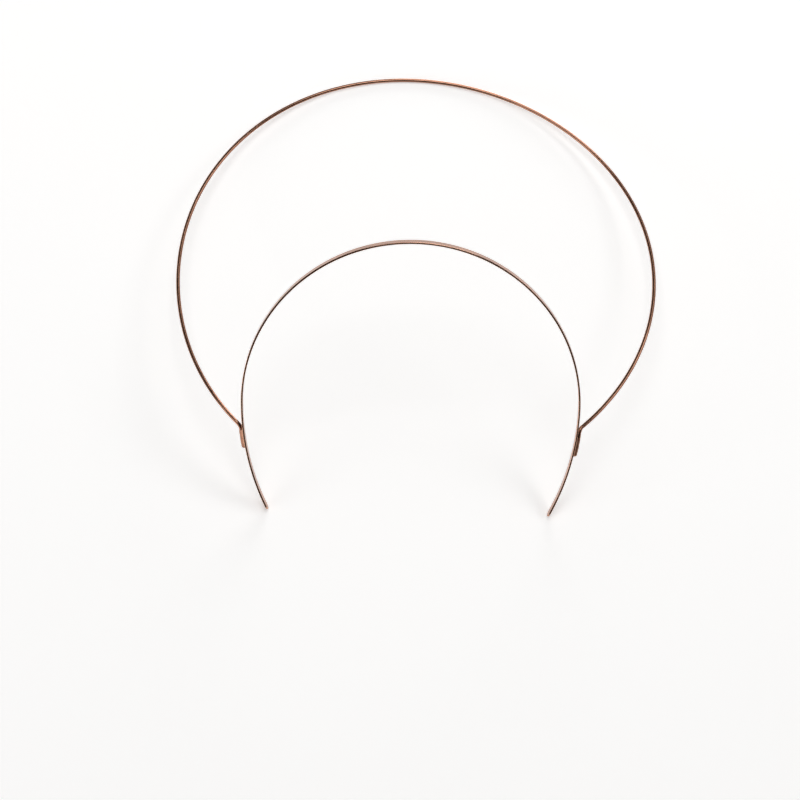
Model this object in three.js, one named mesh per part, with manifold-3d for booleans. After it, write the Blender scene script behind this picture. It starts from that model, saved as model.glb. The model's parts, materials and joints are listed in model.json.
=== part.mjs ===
// A halo headband: an open ring of round wire soldered to a slim hair band, lying on its back.
// Millimetres, +Z up. It is built with the band upright, its front facing -Y, and then tipped
// back until the ring's top and the two tips of the band touch the surface under it.
import * as THREE from "three";
import { mergeVertices } from "three/addons/utils/BufferGeometryUtils.js";
import Module from "manifold-3d";

// Halo wire
const wireDiameter = 2;
const ringRadius = 124; // to the middle of the wire
const ringLean = 48; // degrees from the plane of the band to the plane of the ring
const handBend = 1.4; // how far the hand-bent ring strays from a true circle
const bulgeTurn = -34; // degrees from the ring's top to the nearest of its three slight bulges
const bendLength = 3; // wire from the point where ring and band would meet to each end of the bend
const tailLength = 9; // wire that lies along the leg

// Hair band
const bandWidth = 5;
const bandThickness = 1;
const bandEdge = 0.2; // the strip's edges are broken by this much
const archRadius = 85.5; // to the outer face
const legLength = 61; // from the widest place to the tip
const legTurn = 26; // degrees that a leg curves inwards

// Where the wire meets the band
const junctionDrop = 12.6; // below the band's widest place
const wireSeat = 0.2; // how deep the wire is pressed into the strip as it is soldered
const solderLength = 12;
const solderWidth = 4.2;
const solderHeight = 1.5; // above the strip's outer face

// How finely the curves are divided
const wireSides = 12;
const wireSteps = 156;
const ringPoints = 60;
const bendPoints = 6;
const tailPoints = 3;
const archFacets = 49; // odd, so that one facet lies flat across the crown
const legFacets = 10;
const tipFacets = 8;

const ringLobes = 3;
const wireRadius = wireDiameter / 2;
const degree = THREE.MathUtils.DEG2RAD;
const legRadius = legLength / (legTurn * degree);
const legCentre = archRadius - legRadius;
const tailRadius = legRadius + wireRadius - wireSeat;

// A point at an angle below the widest place, on the circle of a given radius about a leg's centre.
// The side is 1 for the leg on +X and -1 for the other.
function onLeg(side, radius, angle) {
  return new THREE.Vector3(
    side * (legCentre + radius * Math.cos(angle)),
    0,
    -radius * Math.sin(angle),
  );
}

// The ring would meet the band at this angle down the leg and this far from the middle.
const junctionAngle = Math.asin(junctionDrop / tailRadius);
const junctionReach = onLeg(1, tailRadius, junctionAngle).x;
const ringCentre = Math.sqrt(ringRadius ** 2 - junctionReach ** 2);
const ringEnd =
  Math.PI - Math.asin(junctionReach / ringRadius) - bendLength / ringRadius;

// A point of the ring, by its angle from the top towards +X.
function onRing(angle) {
  const lobe = Math.cos(ringLobes * (angle - bulgeTurn * degree));
  const radius = ringRadius + handBend * lobe;
  const reach = ringCentre + radius * Math.cos(angle);
  return new THREE.Vector3(
    radius * Math.sin(angle),
    reach * Math.sin(ringLean * degree),
    reach * Math.cos(ringLean * degree) - junctionDrop,
  );
}

// The wire past the end of the ring: a bend, and then the tail down to the cut end.
function tail(side) {
  const from = junctionAngle + bendLength / tailRadius;
  const sweep = tailLength / tailRadius;
  const bend = new THREE.QuadraticBezierCurve3(
    onRing(side * ringEnd),
    onLeg(side, tailRadius, junctionAngle),
    onLeg(side, tailRadius, from),
  );
  const points = bend.getPoints(bendPoints).slice(1);
  for (let i = 1; i <= tailPoints; i++) {
    points.push(onLeg(side, tailRadius, from + (sweep * i) / tailPoints));
  }
  return points;
}

function haloWire() {
  const ring = [];
  for (let i = 0; i <= ringPoints; i++) {
    ring.push(onRing(ringEnd * ((2 * i) / ringPoints - 1)));
  }
  const route = [...tail(-1).reverse(), ...ring, ...tail(1)];
  const section = [];
  for (let i = 0; i < wireSides; i++) {
    const turn = (2 * Math.PI * (i + 0.5)) / wireSides;
    section.push(new THREE.Vector2(wireRadius * Math.cos(turn), wireRadius * Math.sin(turn)));
  }
  return new THREE.ExtrudeGeometry(new THREE.Shape(section), {
    steps: wireSteps,
    extrudePath: new THREE.CatmullRomCurve3(route, false, "centripetal"),
  });
}

// One face of the strip seen from the front, from the tip on +X over the crown to the other tip.
function stripFace(depth) {
  const points = [];
  const addArc = (centre, radius, from, to, facets) => {
    for (let i = 0; i <= facets; i++) {
      const angle = from + ((to - from) * i) / facets;
      points.push(new THREE.Vector2(centre + radius * Math.cos(angle), radius * Math.sin(angle)));
    }
  };
  const turn = legTurn * degree;
  addArc(legCentre, legRadius - depth, -turn, 0, legFacets);
  points.pop();
  addArc(0, archRadius - depth, 0, Math.PI, archFacets);
  points.pop();
  addArc(-legCentre, legRadius - depth, Math.PI, Math.PI + turn, legFacets);
  return points;
}

function bandStrip() {
  const outline = [...stripFace(0), ...stripFace(bandThickness).reverse()];
  const strip = new THREE.ExtrudeGeometry(new THREE.Shape(outline), {
    depth: bandWidth - 2 * bandEdge,
    bevelThickness: bandEdge,
    bevelSize: bandEdge,
    bevelOffset: -bandEdge,
    bevelSegments: 1,
  });
  strip.translate(0, 0, bandEdge - bandWidth / 2);
  return strip.rotateX(Math.PI / 2);
}

// What is cut from the end of the strip to leave a round tip.
function tipCutter(side) {
  const round = bandWidth / 2;
  const spare = bandThickness;
  const shape = new THREE.Shape();
  shape.moveTo(-round, round + spare);
  shape.lineTo(-round, round);
  for (let i = 1; i <= 2 * tipFacets; i++) {
    const angle = Math.PI / 2 - (Math.PI * i) / (2 * tipFacets);
    shape.lineTo(round * (Math.cos(angle) - 1), round * Math.sin(angle));
  }
  shape.lineTo(-round, -round - spare);
  shape.lineTo(spare, -round - spare);
  shape.lineTo(spare, round + spare);
  const cutter = new THREE.ExtrudeGeometry(shape, {
    depth: bandThickness + 2 * spare,
    bevelEnabled: false,
  });
  cutter.translate(0, 0, -bandThickness - spare);
  return cutter.applyMatrix4(legFrame(side, legRadius, legTurn * degree));
}

// A place on a leg: its first axis runs down the leg, its second across the strip and its third out
// of the outer face.
function legFrame(side, radius, angle) {
  const place = onLeg(side, radius, angle);
  const out = new THREE.Vector3(side * Math.cos(angle), 0, -Math.sin(angle));
  const down = new THREE.Vector3(-side * Math.sin(angle), 0, -Math.cos(angle));
  const across = new THREE.Vector3().crossVectors(out, down);
  return new THREE.Matrix4().makeBasis(down, across, out).setPosition(place);
}

function solderJoint(side) {
  const middle = junctionAngle + (bendLength + tailLength / 2) / tailRadius;
  const bead = new THREE.SphereGeometry(1, 20, 12);
  bead.scale(solderLength / 2, solderWidth / 2, solderHeight);
  return bead.applyMatrix4(legFrame(side, legRadius, middle));
}

const wasm = await Module();
wasm.setup();

function solid(geometry) {
  geometry.deleteAttribute("normal");
  geometry.deleteAttribute("uv");
  const merged = mergeVertices(geometry, 1e-4);
  return new wasm.Manifold(
    new wasm.Mesh({
      numProp: 3,
      vertProperties: merged.attributes.position.array,
      triVerts: new Uint32Array(merged.index.array),
    }),
  );
}

// How low a solid reaches once it is tipped about the X axis.
function lowest(part, tip) {
  const corners = part.getMesh().vertProperties;
  let low = Infinity;
  for (let i = 0; i < corners.length; i += 3) {
    low = Math.min(low, corners[i + 1] * Math.sin(tip) + corners[i + 2] * Math.cos(tip));
  }
  return low;
}

// The tip at which the wire and the band reach equally low, found by halving.
function restingTip(wire, band) {
  let flat = -Math.PI / 2;
  let upright = 0;
  while (upright - flat > 1e-7) {
    const middle = (flat + upright) / 2;
    if (lowest(wire, middle) < lowest(band, middle)) {
      flat = middle;
    } else {
      upright = middle;
    }
  }
  return flat;
}

const wire = solid(haloWire());
let band = solid(bandStrip());
for (const side of [-1, 1]) {
  band = band.subtract(solid(tipCutter(side)));
}
let whole = band.add(wire);
for (const side of [-1, 1]) {
  whole = whole.add(solid(solderJoint(side)));
}

const made = whole.getMesh();
const geometry = new THREE.BufferGeometry();
geometry.setAttribute("position", new THREE.BufferAttribute(made.vertProperties, 3));
geometry.setIndex(new THREE.BufferAttribute(made.triVerts, 1));
geometry.computeVertexNormals();

const roseGold = new THREE.MeshStandardMaterial({
  color: 0xa67b65,
  roughness: 0.22,
  metalness: 1,
});
const headband = new THREE.Mesh(geometry, roseGold);
headband.name = "halo_headband";
headband.rotation.x = restingTip(wire, band);

// The origin lies under the middle of the headband's box.
const box = new THREE.Box3().setFromObject(headband, true);
const centre = box.getCenter(new THREE.Vector3());
headband.position.set(-centre.x, -centre.y, -box.min.z);

const halo = new THREE.Group();
halo.add(headband);
export default halo;
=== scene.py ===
# A halo headband of rose-gold plated steel, lying on its back on a pale table.
import json
import math

import bpy
import bmesh
from mathutils import Matrix, Vector, noise


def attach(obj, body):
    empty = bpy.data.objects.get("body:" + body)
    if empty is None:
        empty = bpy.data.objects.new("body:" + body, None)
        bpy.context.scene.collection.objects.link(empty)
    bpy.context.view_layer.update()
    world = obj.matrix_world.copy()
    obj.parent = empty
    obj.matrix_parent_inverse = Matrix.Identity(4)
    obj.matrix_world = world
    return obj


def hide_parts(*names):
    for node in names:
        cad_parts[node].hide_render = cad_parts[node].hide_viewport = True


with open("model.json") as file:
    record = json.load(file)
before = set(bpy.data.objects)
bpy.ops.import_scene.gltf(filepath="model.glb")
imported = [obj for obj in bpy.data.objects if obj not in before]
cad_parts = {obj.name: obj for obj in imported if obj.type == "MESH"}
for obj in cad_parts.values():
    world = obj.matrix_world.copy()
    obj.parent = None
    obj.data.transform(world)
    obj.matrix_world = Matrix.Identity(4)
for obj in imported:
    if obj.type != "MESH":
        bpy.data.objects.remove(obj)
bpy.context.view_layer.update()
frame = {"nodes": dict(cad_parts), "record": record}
print("frame loaded:", sorted(frame["nodes"]))

mm = 0.001
nodeName = "halo_headband"

# The hair band: a slim steel strip, bent into an arch with two legs that curve in.
bandSizes = {
    "width": 5 * mm,
    "thickness": 1 * mm,
    "archRadius": 85.5 * mm,  # to the outer face
    "legLength": 61 * mm,
    "legTurn": math.radians(26),
    "edgeRadius": 0.28 * mm,  # the strip is tumbled before plating, so its edges are round
    "step": 1.1 * mm,  # between its cross-sections
    "tipSteps": 14,  # cross-sections over each round tip
    "edgeSteps": 5,  # facets round each edge
    "faceSteps": 6,  # columns across each flat face
}

# The halo: one length of round wire, bent into an open ring with a short tail at each end.
wireSizes = {
    "radius": 1 * mm,
    "ringRadius": 124 * mm,  # to the middle of the wire
    "lean": math.radians(48),  # from the plane of the band to the plane of the ring
    "handBend": 1.4 * mm,  # how far the ring strays from a true circle
    "bulgeTurn": math.radians(-34),
    "lobes": 3,
    "bend": 3 * mm,  # on each side of the place where ring and band would meet
    "bendPull": 0.62,  # reach of the bend's handles, as a share of that length
    "bendSteps": 14,
    "tail": 9 * mm,
    "drop": 12.6 * mm,  # from the band's widest place to that place
    "seat": 0.2 * mm,  # how deep the wire is pressed into the strip
    "step": 1.2 * mm,  # between the points of its route
    "sides": 28,
    "cutRound": 0.25 * mm,  # the cut ends are filed by this much
    "cutWidth": 0.8,  # and are left this wide, as a share of the wire
}

# The solder that joins each tail to the strip.
solderSizes = {
    "ahead": 0.9 * mm,  # before the tail, where the wire lifts off the strip
    "past": 1.9 * mm,  # past the cut end
    "width": 4.4 * mm,
    "outline": (3, 0.4),  # powers that shape its outline: at the ends, along the sides
    "film": 0.06 * mm,  # thickness of the solder over the wire
    "rise": 2.4 * mm,  # the length in which that film grows
    "swell": 1.5 * mm,  # the length in which the whole bead grows from its start
    "fade": 0.7 * mm,  # and in which it runs out at its end
    "fillet": 1.15 * mm,
    "filletStart": 0.3,  # share of the fillet at its start
    "slope": 3,  # how steeply it falls from the wire before the fillet
    "capStretch": 0.8,  # below 1 it reaches further past the cut end than to the sides
    "skirt": 0.03 * mm,  # how far the strip's face lies above the bead's flat rim
    "sunk": 0.25 * mm,  # how deep its edges run into the strip
    "edgeDrop": 6,  # power with which they fall to it
    "underside": 1.6,  # depth of its hidden underside, in times the sunk edge
    "ripple": 0.05 * mm,
    "rippleScale": (650, 900, 3.0),  # per metre along and across, and what tells the sides apart
    "rippleCalm": 4,  # power with which the ripple dies away at the edges
    "along": 90,
    "across": 56,
}

# The photograph's view of the ring.
viewSizes = {
    "image": 800,
    "ringPixel": (413.6, 275.8),  # the ring's centre
    "metresPerPixel": 0.5213 * mm,
    "distance": 1.4,
    "tiltAway": math.radians(28.47),  # the ring's top lies further from the camera
    "roll": math.radians(1.5),
    "sensor": 36.0,
    "nearest": 0.05,  # what is closer to the camera isn't drawn
}


def linear(hexCode):
    # sRGB hex to the linear colour that a shader takes
    channels = [int(hexCode[i:i + 2], 16) / 255 for i in (1, 3, 5)]
    curve = [c / 12.92 if c <= 0.04045 else ((c + 0.055) / 1.055) ** 2.4 for c in channels]
    return (*curve, 1.0)


def addNode(tree, kind, settings=None, values=None, links=None):
    # A node with its settings, its socket values and its incoming links
    node = tree.nodes.new(kind)
    for key, value in (settings or {}).items():
        setattr(node, key, value)
    for key, value in (values or {}).items():
        node.inputs[key].default_value = value
    for key, socket in (links or {}).items():
        tree.links.new(socket, node.inputs[key])
    return node


# Shapes are worked out with the band upright and its arch centred on the origin, as it was bent,
# and then tipped back and set down where the frame has it.
legRadius = bandSizes["legLength"] / bandSizes["legTurn"]
legCentre = bandSizes["archRadius"] - legRadius
quarter = bandSizes["archRadius"] * math.pi / 2
tailRadius = legRadius + wireSizes["radius"] - wireSizes["seat"]
meetAngle = math.asin(wireSizes["drop"] / tailRadius)
meetReach = legCentre + tailRadius * math.cos(meetAngle)
ringCentre = math.sqrt(wireSizes["ringRadius"] ** 2 - meetReach ** 2)
ringEnd = (math.pi - math.asin(meetReach / wireSizes["ringRadius"])
           - wireSizes["bend"] / wireSizes["ringRadius"])


def restingPlace():
    # The crown's mount says how far the band is tipped back and where its crown lies
    mount = next(m for m in frame["record"]["mounts"] if m["name"] == "crown_top")
    tip = math.atan2(-mount["axis"][1], mount["axis"][2])
    turned = Matrix.Rotation(tip, 4, "X")
    crown = turned @ Vector((0, 0, bandSizes["archRadius"]))
    return Matrix.Translation(Vector(mount["pos_m"]) - crown) @ turned


resting = restingPlace()


def onBand(along, across, height):
    # A point by its way along the strip from the crown, across it, and above its outer face
    side = 1 if along >= 0 else -1
    way = abs(along)
    if way <= quarter:
        angle = way / bandSizes["archRadius"]
        radius = bandSizes["archRadius"] + height
        return Vector((side * radius * math.sin(angle), across, radius * math.cos(angle)))
    angle = (way - quarter) / legRadius
    radius = legRadius + height
    return Vector((side * (legCentre + radius * math.cos(angle)), across,
                   -radius * math.sin(angle)))


def onRing(angle):
    # A point of the ring by its angle from the top
    sizes = wireSizes
    lobe = math.cos(sizes["lobes"] * (angle - sizes["bulgeTurn"]))
    radius = sizes["ringRadius"] + sizes["handBend"] * lobe
    reach = ringCentre + radius * math.cos(angle)
    return Vector((radius * math.sin(angle), reach * math.sin(sizes["lean"]),
                   reach * math.cos(sizes["lean"]) - sizes["drop"]))


def tailSpan():
    # Where a tail begins and ends, by its way along the strip's outer face from the crown
    start = quarter + legRadius * (meetAngle + wireSizes["bend"] / tailRadius)
    return start, start + wireSizes["tail"] * legRadius / tailRadius


def wireRoute():
    # Tail, bend, ring, bend, tail
    sizes = wireSizes
    tailHeight = sizes["radius"] - sizes["seat"]
    tailFrom, tailTo = tailSpan()
    count = round(2 * ringEnd * sizes["ringRadius"] / sizes["step"])
    ring = [onRing(ringEnd * (2 * i / count - 1)) for i in range(count + 1)]

    def ending(side, last, before):
        tailSteps = round(sizes["tail"] / sizes["step"])
        tail = [onBand(side * (tailFrom + (tailTo - tailFrom) * i / tailSteps), 0, tailHeight)
                for i in range(tailSteps + 1)]
        bendOut = (last - before).normalized()
        bendIn = (tail[1] - tail[0]).normalized()
        reach = sizes["bendPull"] * sizes["bend"]
        handles = (last, last + bendOut * reach, tail[0] - bendIn * reach, tail[0])
        bend = []
        for i in range(1, sizes["bendSteps"]):
            t = i / sizes["bendSteps"]
            weights = ((1 - t) ** 3, 3 * t * (1 - t) ** 2, 3 * t * t * (1 - t), t ** 3)
            bend.append(sum((h * w for h, w in zip(handles, weights)), Vector()))
        return bend + tail

    left = ending(-1, ring[0], ring[1])
    right = ending(1, ring[-1], ring[-2])
    return left[::-1] + ring + right


def makeCamera():
    # The view is worked out from where the ring's centre, its lean and its scale show in the
    # photograph, so the ring falls on the same pixels.
    view = viewSizes
    focal = view["distance"] / view["metresPerPixel"]
    half = view["image"] / 2
    px, py = view["ringPixel"]
    centreSeen = Vector(((px - half) / focal, -(py - half) / focal, -1)) * view["distance"]
    roll = Matrix.Rotation(-view["roll"], 3, "Z")
    rightSeen = roll @ Vector((1, 0, 0))
    upSeen = roll @ Vector((0, math.cos(view["tiltAway"]), -math.sin(view["tiltAway"])))
    seen = Matrix((rightSeen, upSeen, rightSeen.cross(upSeen))).transposed()
    lean = wireSizes["lean"]
    turned = resting.to_3x3()
    right = turned @ Vector((1, 0, 0))
    up = turned @ Vector((0, math.sin(lean), math.cos(lean)))
    real = Matrix((right, up, right.cross(up))).transposed()
    centre = resting @ Vector((0, ringCentre * math.sin(lean),
                               ringCentre * math.cos(lean) - wireSizes["drop"]))
    rotation = real @ seen.inverted()
    data = bpy.data.cameras.new("photoCamera")
    data.sensor_width = view["sensor"]
    data.lens = view["sensor"] * focal / view["image"]
    data.clip_start = view["nearest"]
    camera = bpy.data.objects.new("photoCamera", data)
    place = Matrix.Translation(centre - rotation @ centreSeen) @ rotation.to_4x4()
    camera.matrix_world = place
    bpy.context.scene.collection.objects.link(camera)
    bpy.context.scene.camera = camera
    return camera


camera = makeCamera()
print("camera at", [round(v, 3) for v in camera.matrix_world.translation])


# What the three finishes share. Levels are those of the noise, which runs from 0 to 1.
platingLook = {
    "deepAt": 0.3,  # levels of the patches that take the deep and the light colour
    "lightAt": 0.7,
    "smoothAt": 0.3,  # and the smooth and the dull surface
    "dullAt": 0.75,
    "handled": (0.48, 0.64),  # levels between which the patches begin to carry scratches
    "scratched": (0.62, 0.74),  # and between which a streak becomes a scratch
    "scratchDepth": -0.8,  # against the height of the lines
    "relief": 0.02 * mm,
    # How strongly the rounded edges take the paler colour, which is partly wear and partly a
    # painted highlight
    "rubbedSheenGain": 1.3,
    "rubbedRough": -0.08,  # rubbed edges are smoother
}


def roseGoldPlate(name, finish):
    # Rose gold plating on steel: copper in the gold gives a warm pink metal. It was drawn or
    # rolled, then polished, so faint lines run along it, and handling has left patches and light
    # scratches.
    look = platingLook
    material = bpy.data.materials.new(name)
    material.use_nodes = True
    tree = material.node_tree
    tree.nodes.clear()
    place = addNode(tree, "ShaderNodeAttribute", {"attribute_name": "straight"})

    def streaks(scale, turn, detail):
        # Noise drawn out along the metal, by the place on the straight wire or strip
        drawn = addNode(tree, "ShaderNodeMapping", {"vector_type": "POINT"},
                        {"Rotation": (0, 0, turn), "Scale": scale},
                        {"Vector": place.outputs["Vector"]})
        return addNode(tree, "ShaderNodeTexNoise", None,
                       {"Scale": 1.0, "Detail": detail, "Roughness": 0.6},
                       {"Vector": drawn.outputs["Vector"]}).outputs["Fac"]

    grain = streaks(finish["lineScale"], 0.0, 3.0)
    patches = addNode(tree, "ShaderNodeTexNoise", None,
                      {"Scale": finish["patchScale"], "Detail": 4.0, "Roughness": 0.55},
                      {"Vector": place.outputs["Vector"]})
    # Scratches gather where the metal has been handled most
    handled = addNode(tree, "ShaderNodeMapRange", {"interpolation_type": "SMOOTHSTEP"},
                      {"From Min": look["handled"][0], "From Max": look["handled"][1]},
                      {"Value": patches.outputs["Fac"]})
    scratched = addNode(tree, "ShaderNodeMapRange", {"interpolation_type": "SMOOTHSTEP"},
                        {"From Min": look["scratched"][0], "From Max": look["scratched"][1]},
                        {"Value": streaks(finish["scratchScale"], finish["scratchTurn"], 2.0)})
    scratches = addNode(tree, "ShaderNodeMath", {"operation": "MULTIPLY"}, None,
                        {0: handled.outputs["Result"], 1: scratched.outputs["Result"]})
    tint = addNode(tree, "ShaderNodeValToRGB", None, None, {"Fac": patches.outputs["Fac"]})
    tint.color_ramp.elements[0].position = look["deepAt"]
    tint.color_ramp.elements[0].color = linear(finish["deep"])
    tint.color_ramp.elements[1].position = look["lightAt"]
    tint.color_ramp.elements[1].color = linear(finish["light"])
    # Rounded edges that are rubbed in wear are smoother, and paler in colour: the paler colour is
    # partly wear and partly a painted highlight along the edges
    wornAndSheen = addNode(tree, "ShaderNodeAttribute", {"attribute_name": "wornAndSheen"})
    rubbedSheen = addNode(tree, "ShaderNodeMath", {"operation": "MULTIPLY", "use_clamp": True},
                     {1: look["rubbedSheenGain"]}, {0: wornAndSheen.outputs["Fac"]})
    rubbedSheen = addNode(tree, "ShaderNodeMath", {"operation": "MULTIPLY", "use_clamp": True}, None,
                     {0: rubbedSheen.outputs["Value"], 1: patches.outputs["Fac"]})
    colour = addNode(tree, "ShaderNodeMix", {"data_type": "RGBA"},
                     {7: linear(finish["rubbedSheen"])},
                     {0: rubbedSheen.outputs["Value"], 6: tint.outputs["Color"]})
    rough = addNode(tree, "ShaderNodeMapRange", None,
                    {"From Min": look["smoothAt"], "From Max": look["dullAt"],
                     "To Min": finish["smooth"], "To Max": finish["dull"]},
                    {"Value": patches.outputs["Fac"]})
    rough = addNode(tree, "ShaderNodeMath", {"operation": "MULTIPLY_ADD"},
                    {1: finish["lineRough"]}, {0: grain, 2: rough.outputs["Result"]})
    rough = addNode(tree, "ShaderNodeMath", {"operation": "MULTIPLY_ADD"},
                    {1: finish["scratchRough"]},
                    {0: scratches.outputs["Value"], 2: rough.outputs["Value"]})
    rough = addNode(tree, "ShaderNodeMath", {"operation": "MULTIPLY_ADD"},
                    {1: look["rubbedRough"]},
                    {0: rubbedSheen.outputs["Value"], 2: rough.outputs["Value"]})
    relief = addNode(tree, "ShaderNodeMath", {"operation": "MULTIPLY_ADD"},
                     {1: look["scratchDepth"]}, {0: scratches.outputs["Value"], 2: grain})
    bump = addNode(tree, "ShaderNodeBump", None,
                   {"Strength": finish["bump"], "Distance": look["relief"]},
                   {"Height": relief.outputs["Value"]})
    metal = addNode(tree, "ShaderNodeBsdfPrincipled", None, {"Metallic": 1.0},
                    {"Base Color": colour.outputs[2], "Roughness": rough.outputs["Value"],
                     "Normal": bump.outputs["Normal"]})
    addNode(tree, "ShaderNodeOutputMaterial", None, None, {"Surface": metal.outputs["BSDF"]})
    return material


# Scales are repeats per metre: on the wire that is lines about 0.12 mm apart and 40 mm long, and
# scratches of 5 mm
# Each finish's paler edge colour is partly wear and partly a painted highlight; only the band's
# rounded edges carry it
wireMaterial = roseGoldPlate("roseGoldPlatedDrawnWire", {
    "deep": "#99705c", "light": "#b4866f", "rubbedSheen": "#cba088", "smooth": 0.08, "dull": 0.17,
    "lineRough": 0.08, "lineScale": (25, 8000, 8000), "patchScale": 65, "bump": 0.3,
    "scratchScale": (200, 3500, 3500), "scratchTurn": 0.05, "scratchRough": 0.1})
stripMaterial = roseGoldPlate("roseGoldPlatedRolledStrip", {
    "deep": "#9c735f", "light": "#b68a73", "rubbedSheen": "#cfa48c", "smooth": 0.12, "dull": 0.24,
    "lineRough": 0.1, "lineScale": (30, 6000, 6000), "patchScale": 60, "bump": 0.4,
    "scratchScale": (180, 3500, 3500), "scratchTurn": 0.14, "scratchRough": 0.12})
solderMaterial = roseGoldPlate("roseGoldPlatedSolder", {
    "deep": "#936a56", "light": "#a97d67", "rubbedSheen": "#c1967f", "smooth": 0.2, "dull": 0.36,
    "lineRough": 0.1, "lineScale": (1500, 1500, 1500), "patchScale": 400, "bump": 0.5,
    "scratchScale": (900, 2500, 2500), "scratchTurn": 0.4, "scratchRough": 0.05})
print("materials made")


def wireTree(material):
    # Sweeps a round section along a path, keeps where each point would lie on the straight wire,
    # and files the cut ends round
    tree = bpy.data.node_groups.new("sweptWire", "GeometryNodeTree")
    sockets = {}
    for label, kind in (("Path", "NodeSocketGeometry"), ("Wire radius", "NodeSocketFloat"),
                        ("Sides", "NodeSocketInt"), ("Cut round", "NodeSocketFloat"),
                        ("Cut width", "NodeSocketFloat")):
        sockets[label] = tree.interface.new_socket(label, in_out="INPUT", socket_type=kind)
    tree.interface.new_socket("Wire", in_out="OUTPUT", socket_type="NodeSocketGeometry")
    given = addNode(tree, "NodeGroupInput").outputs
    path = addNode(tree, "GeometryNodeMeshToCurve", None, None, {"Mesh": given["Path"]})
    way = addNode(tree, "GeometryNodeSplineParameter")
    total = addNode(tree, "GeometryNodeSplineLength")
    rest = addNode(tree, "ShaderNodeMath", {"operation": "SUBTRACT"}, None,
                   {0: total.outputs["Length"], 1: way.outputs["Length"]})
    nearest = addNode(tree, "ShaderNodeMath", {"operation": "MINIMUM"}, None,
                      {0: way.outputs["Length"], 1: rest.outputs["Value"]})
    filed = addNode(tree, "ShaderNodeMapRange", {"interpolation_type": "SMOOTHSTEP"},
                    {"To Max": 1.0},
                    {"Value": nearest.outputs["Value"], "From Max": given["Cut round"],
                     "To Min": given["Cut width"]})
    measured = addNode(tree, "GeometryNodeStoreNamedAttribute",
                       {"data_type": "FLOAT", "domain": "POINT"}, {"Name": "alongWire"},
                       {"Geometry": path.outputs["Curve"], "Value": way.outputs["Length"]})
    circle = addNode(tree, "GeometryNodeCurvePrimitiveCircle", {"mode": "RADIUS"}, None,
                     {"Resolution": given["Sides"], "Radius": given["Wire radius"]})
    spot = addNode(tree, "GeometryNodeInputPosition")
    section = addNode(tree, "GeometryNodeStoreNamedAttribute",
                      {"data_type": "FLOAT_VECTOR", "domain": "POINT"}, {"Name": "inSection"},
                      {"Geometry": circle.outputs["Curve"], "Value": spot.outputs["Position"]})
    swept = addNode(tree, "GeometryNodeCurveToMesh", None, {"Fill Caps": True},
                    {"Curve": measured.outputs["Geometry"],
                     "Profile Curve": section.outputs["Geometry"],
                     "Scale": filed.outputs["Result"]})
    along = addNode(tree, "GeometryNodeInputNamedAttribute", {"data_type": "FLOAT"},
                    {"Name": "alongWire"})
    inside = addNode(tree, "GeometryNodeInputNamedAttribute", {"data_type": "FLOAT_VECTOR"},
                     {"Name": "inSection"})
    parts = addNode(tree, "ShaderNodeSeparateXYZ", None, None,
                    {"Vector": inside.outputs["Attribute"]})
    straight = addNode(tree, "ShaderNodeCombineXYZ", None, None,
                       {"X": along.outputs["Attribute"], "Y": parts.outputs["X"],
                        "Z": parts.outputs["Y"]})
    placed = addNode(tree, "GeometryNodeStoreNamedAttribute",
                     {"data_type": "FLOAT_VECTOR", "domain": "POINT"}, {"Name": "straight"},
                     {"Geometry": swept.outputs["Mesh"], "Value": straight.outputs["Vector"]})
    smooth = addNode(tree, "GeometryNodeSetShadeSmooth", None, None,
                     {"Geometry": placed.outputs["Geometry"]})
    real = addNode(tree, "GeometryNodeRealizeInstances", None, None,
                   {"Geometry": smooth.outputs["Geometry"]})
    dressed = addNode(tree, "GeometryNodeSetMaterial", None, {"Material": material},
                      {"Geometry": real.outputs["Geometry"]})
    addNode(tree, "NodeGroupOutput", None, None, {"Wire": dressed.outputs["Geometry"]})
    return tree, sockets


def addObject(name, mesh):
    piece = bpy.data.objects.new(name, mesh)
    bpy.context.scene.collection.objects.link(piece)
    return piece


def makeWire():
    # The route is a bare line of edges, which the tree sweeps and which then becomes a plain mesh
    route = [resting @ point for point in wireRoute()]
    path = bpy.data.meshes.new("haloWirePath")
    path.from_pydata(route, [(i, i + 1) for i in range(len(route) - 1)], [])
    piece = addObject("haloWire", path)
    tree, sockets = wireTree(wireMaterial)
    modifier = piece.modifiers.new("sweptWire", "NODES")
    modifier.node_group = tree
    modifier[sockets["Wire radius"].identifier] = wireSizes["radius"]
    modifier[sockets["Sides"].identifier] = wireSizes["sides"]
    modifier[sockets["Cut round"].identifier] = wireSizes["cutRound"]
    modifier[sockets["Cut width"].identifier] = wireSizes["cutWidth"]
    graph = bpy.context.evaluated_depsgraph_get()
    mesh = bpy.data.meshes.new_from_object(piece.evaluated_get(graph))
    piece.modifiers.clear()
    piece.data = mesh
    return piece


def meshFrom(name, rows, material, marks=None):
    # A skin over closed rows of (point, straight place) pairs. Marks, one for each place in a row,
    # say how much that place takes the edges' paler colour, partly wear and partly painted
    # highlight.
    touching = 0.001 * mm  # corners this close are joined
    work = bmesh.new()
    straight = work.verts.layers.float_vector.new("straight")
    wornAndSheen = work.verts.layers.float.new("wornAndSheen")
    grid = []
    for row in rows:
        made = []
        for i, (point, place) in enumerate(row):
            vertex = work.verts.new(resting @ point)
            vertex[straight] = place
            vertex[wornAndSheen] = marks[i] if marks else 0.0
            made.append(vertex)
        grid.append(made)
    wide = len(grid[0])
    for a, b in zip(grid, grid[1:]):
        for i in range(wide):
            j = (i + 1) % wide
            work.faces.new((a[i], a[j], b[j], b[i]))
    bmesh.ops.remove_doubles(work, verts=work.verts, dist=touching)
    bmesh.ops.recalc_face_normals(work, faces=work.faces)
    for face in work.faces:
        face.smooth = True
    mesh = bpy.data.meshes.new(name)
    work.to_mesh(mesh)
    work.free()
    mesh.materials.append(material)
    return mesh


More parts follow.
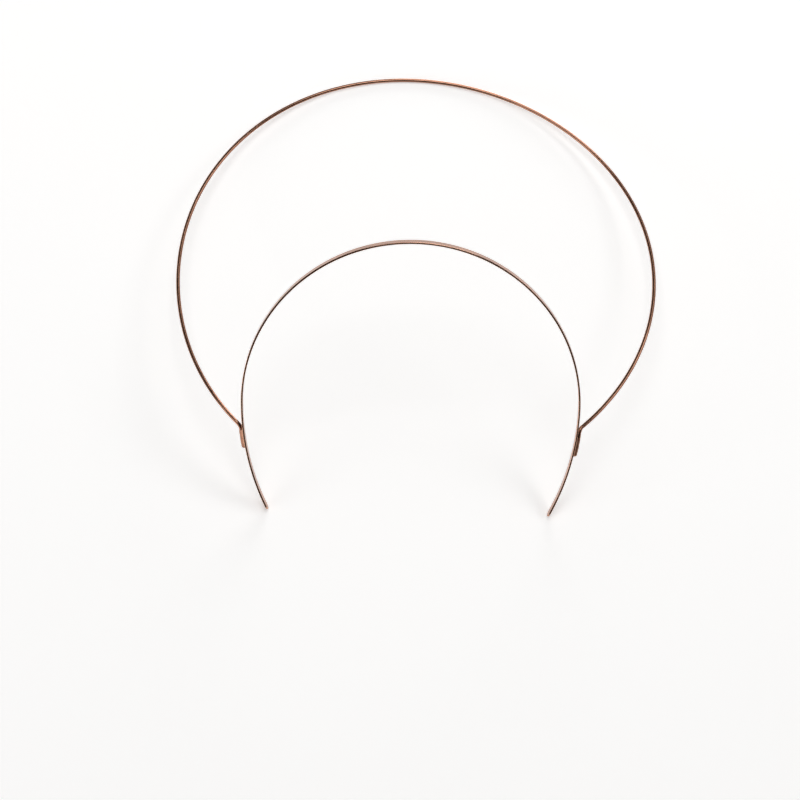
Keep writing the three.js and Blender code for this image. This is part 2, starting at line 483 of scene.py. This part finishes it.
def makeBand():
    # Cross-sections of a plate with rounded edges, set along the strip. At the tips they follow a
    # half circle, so both the outline and the edge come out round.
    sizes = bandSizes
    halfWidth = sizes["width"] / 2
    edge = sizes["edgeRadius"]
    thick = sizes["thickness"]
    straightEnd = quarter + sizes["legLength"] - halfWidth
    edgeSteps, faceSteps, tipSteps = sizes["edgeSteps"], sizes["faceSteps"], sizes["tipSteps"]
    flat = [(edge, 2 * i / faceSteps - 1) for i in range(1, faceSteps)]
    turns = [math.pi / 2 * i / edgeSteps for i in range(edgeSteps + 1)]
    roundTop = [(edge * (1 - math.sin(t)), edge * (math.cos(t) - 1)) for t in turns]
    roundUnder = [(inset, -thick - height) for inset, height in reversed(roundTop)]
    # Inset from the outline, height, share of the width and edge wear with painted highlight, once
    # round the section
    ring = [(inset, 0.0, share, 0.0) for inset, share in flat]
    ring += [(inset, height, 1, 1.0) for inset, height in roundTop + roundUnder]
    ring += [(inset, -thick, -share, 0.0) for inset, share in flat]
    ring += [(inset, height, -1, 1.0) for inset, height in (roundTop + roundUnder)[::-1]]
    marks = [wearAndSheen for _, _, _, wearAndSheen in ring]

    def section(side, along, spread):
        # The spread is 1 up to the tip, and there it narrows to nothing
        row = []
        for inset, height, share, _ in ring:
            half = halfWidth - inset
            back = half * math.sqrt(max(0.0, 1 - spread * spread))
            place = side * (along + back)
            across = share * half * spread
            row.append((onBand(place, across, height), (place, across, height)))
        return row

    def halfStrip(side):
        count = round(straightEnd / sizes["step"])
        strip = [section(side, straightEnd * i / count, 1.0) for i in range(count + 1)]
        tip = [section(side, straightEnd, math.cos(math.pi / 2 * i / tipSteps))
               for i in range(1, tipSteps + 1)]
        return strip + tip

    rows = halfStrip(-1)[::-1] + halfStrip(1)[1:]
    return addObject("headBand", meshFrom("headBand", rows, stripMaterial, marks))


def makeSolder(side):
    # A fillet that runs up both sides of the tail, thinly over it and round its cut end
    sizes = solderSizes
    radius = wireSizes["radius"]
    wireHeight = radius - wireSizes["seat"]
    tailFrom, tailTo = tailSpan()
    start = tailFrom - sizes["ahead"]
    end = tailTo + sizes["past"]
    alongScale, acrossScale, sideScale = sizes["rippleScale"]
    endPower, sidePower = sizes["outline"]

    def smoothStep(value):
        share = min(1.0, max(0.0, value))
        return share * share * (3 - 2 * share)

    def heightAt(along, across, spread):
        film = sizes["film"] * (2 * smoothStep((along - start) / sizes["rise"]) - 1)
        skin = radius + film
        away = math.hypot(across, max(0.0, along - tailTo) * sizes["capStretch"])
        if away < skin:
            over = wireHeight + math.sqrt(skin ** 2 - away ** 2)
        else:
            over = wireHeight - (away - skin) * sizes["slope"]
        base = -sizes["skirt"] - sizes["sunk"] * spread ** sizes["edgeDrop"]
        grown = smoothStep((along - start) / sizes["swell"])
        blend = sizes["fillet"] * (sizes["filletStart"] + (1 - sizes["filletStart"]) * grown)
        mix = max(0.0, blend - abs(over - base)) / blend
        height = max(over, base) + mix * mix * blend / 4
        wave = noise.noise(Vector((along * alongScale, across * acrossScale, sideScale * side)))
        height += sizes["ripple"] * wave * (1 - spread ** sizes["rippleCalm"]) * grown
        ends = grown * smoothStep((end - along) / sizes["fade"])
        return height * ends - sizes["sunk"] * (1 - ends)

    rows = []
    for i in range(sizes["along"] + 1):
        share = i / sizes["along"]
        along = start + (end - start) * share
        halfWidth = sizes["width"] / 2 * (1 - abs(2 * share - 1) ** endPower) ** sidePower
        top = []
        for j in range(sizes["across"] + 1):
            spread = 2 * j / sizes["across"] - 1
            top.append((spread * halfWidth, heightAt(along, spread * halfWidth, abs(spread))))
        under = [(across, -sizes["underside"] * sizes["sunk"]) for across, _ in reversed(top)]
        rows.append([(onBand(side * along, across, height), (along, across, height))
                     for across, height in top + under])
    name = "solderRight" if side > 0 else "solderLeft"
    return addObject(name, meshFrom(name, rows, solderMaterial))


wire = makeWire()
print("wire:", len(wire.data.polygons), "faces")
band = makeBand()
print("band:", len(band.data.polygons), "faces")
solders = [makeSolder(side) for side in (-1, 1)]
print("solder:", sum(len(s.data.polygons) for s in solders), "faces")

for piece in (wire, band, *solders):
    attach(piece, "root")
    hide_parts(nodeName)

# The table and the light. The wire is polished, so what it mirrors decides how it looks. The room
# is dim, and a few small soft boxes give it its bright lines: one hangs overhead, a low one stands
# behind, a low one in front on the left, and two stand further off on the right.
stageSizes = {
    "floorSide": 40.0,
    "floorColour": "#fcfbfa",
    "floorRough": 0.85,
    "floorSpecular": 0.1,
    "room": "#e9e4df",
    "roomLow": 0.55,  # the room's light at the horizon, as pale as the far end of the table
    "roomHigh": 0.07,
    "roomFade": math.radians(8),  # the height at which it has faded to the dim room
    "glow": 0.44,  # the table is a light table, so the metal can stand in a dim room on white
    "aim": (0.0, 0.0, 0.03),
}
# Azimuth is in degrees from straight behind towards the right, elevation in degrees upwards
softBoxes = {
    "overheadBox": {"azimuth": -12, "elevation": 77, "distance": 2.0, "size": (1.1, 1.1),
                    "radiance": 3.0},
    "backBox": {"azimuth": 12, "elevation": 12, "distance": 2.0, "size": (1.0, 0.8),
                "radiance": 6.2},
    "frontLeftBox": {"azimuth": -122, "elevation": 11, "distance": 2.0, "size": (1.4, 0.6),
                     "radiance": 3.6},
    "rightBackBox": {"azimuth": 36, "elevation": 44, "distance": 4.0, "size": (2.8, 0.6),
                     "radiance": 2.2},
    "rightBox": {"azimuth": 78, "elevation": 40, "distance": 4.0, "size": (2.2, 1.0),
                 "radiance": 3.4},
}


def makeRoom():
    # Pale at the horizon and dim above it
    room = bpy.data.worlds.new("dimStudio")
    room.use_nodes = True
    tree = room.node_tree
    direction = addNode(tree, "ShaderNodeTexCoord")
    parts = addNode(tree, "ShaderNodeSeparateXYZ", None, None,
                    {"Vector": direction.outputs["Generated"]})
    faded = addNode(tree, "ShaderNodeMapRange", {"interpolation_type": "SMOOTHSTEP"},
                    {"From Max": math.sin(stageSizes["roomFade"]),
                     "To Min": stageSizes["roomLow"], "To Max": stageSizes["roomHigh"]},
                    {"Value": parts.outputs["Z"]})
    background = tree.nodes["Background"]
    background.inputs["Color"].default_value = linear(stageSizes["room"])
    tree.links.new(faded.outputs["Result"], background.inputs["Strength"])
    return room


def makeTable():
    half = stageSizes["floorSide"] / 2
    mesh = bpy.data.meshes.new("tableTop")
    corners = [(-half, -half, 0), (half, -half, 0), (half, half, 0), (-half, half, 0)]
    mesh.from_pydata(corners, [], [(0, 1, 2, 3)])
    material = bpy.data.materials.new("matteWhiteTable")
    material.use_nodes = True
    surface = material.node_tree.nodes["Principled BSDF"]
    surface.inputs["Base Color"].default_value = linear(stageSizes["floorColour"])
    surface.inputs["Roughness"].default_value = stageSizes["floorRough"]
    surface.inputs["Specular IOR Level"].default_value = stageSizes["floorSpecular"]
    surface.inputs["Emission Color"].default_value = (1, 1, 1, 1)
    surface.inputs["Emission Strength"].default_value = stageSizes["glow"]
    mesh.materials.append(material)
    table = addObject("tableTop", mesh)


def makeLights():
    aim = Vector(stageSizes["aim"])
    for name, box in softBoxes.items():
        data = bpy.data.lights.new(name, "AREA")
        data.shape = "RECTANGLE"
        data.size, data.size_y = box["size"]
        data.energy = box["radiance"] * math.pi * data.size * data.size_y
        lamp = bpy.data.objects.new(name, data)
        azimuth = math.radians(box["azimuth"])
        elevation = math.radians(box["elevation"])
        towards = Vector((math.sin(azimuth) * math.cos(elevation),
                          math.cos(azimuth) * math.cos(elevation), math.sin(elevation)))
        lamp.location = aim + towards * box["distance"]
        lamp.rotation_euler = towards.to_track_quat("Z", "Y").to_euler()
        bpy.context.scene.collection.objects.link(lamp)


makeTable()
bpy.context.scene.world = makeRoom()
makeLights()
bpy.context.scene.view_settings.view_transform = "Standard"
print("stage and light made")
